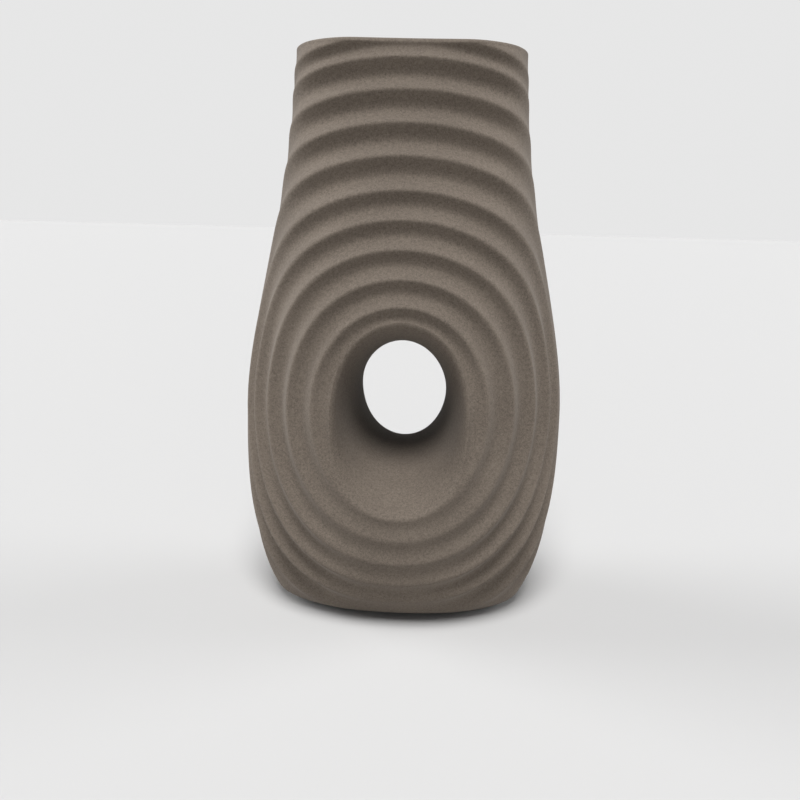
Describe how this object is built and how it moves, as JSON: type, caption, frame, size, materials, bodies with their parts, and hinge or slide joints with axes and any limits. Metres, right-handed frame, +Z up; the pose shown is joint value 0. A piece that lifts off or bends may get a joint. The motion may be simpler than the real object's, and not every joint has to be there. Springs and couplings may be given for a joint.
{
  "type": "ceramic vase",
  "caption": "Tall flattened stoneware vase with an oval tunnel through its belly, ripples that ring the tunnel and climb the neck, and an open oval mouth.",
  "frame": {"origin": "centre of the flat underside of the foot, on the table surface", "axes": "+Z up through the mouth, +X to the right of a viewer in front, the tunnel runs along Y and the pictured front faces -Y"},
  "size_m": [0.1542, 0.116, 0.26],
  "materials": {
    "ceramic_matte": "fine sandy matte grey-brown stoneware, unglazed outside",
    "foot_bare": "bare fired clay, wiped and ground flat",
    "glaze_inside": "thin satin liner glaze"
  },
  "bodies": {
    "root": {"front_shell": "ceramic_matte", "back_shell": "ceramic_matte", "foot_slab": "foot_bare", "glaze_lining": "glaze_inside"}
  },
  "joints": []
}
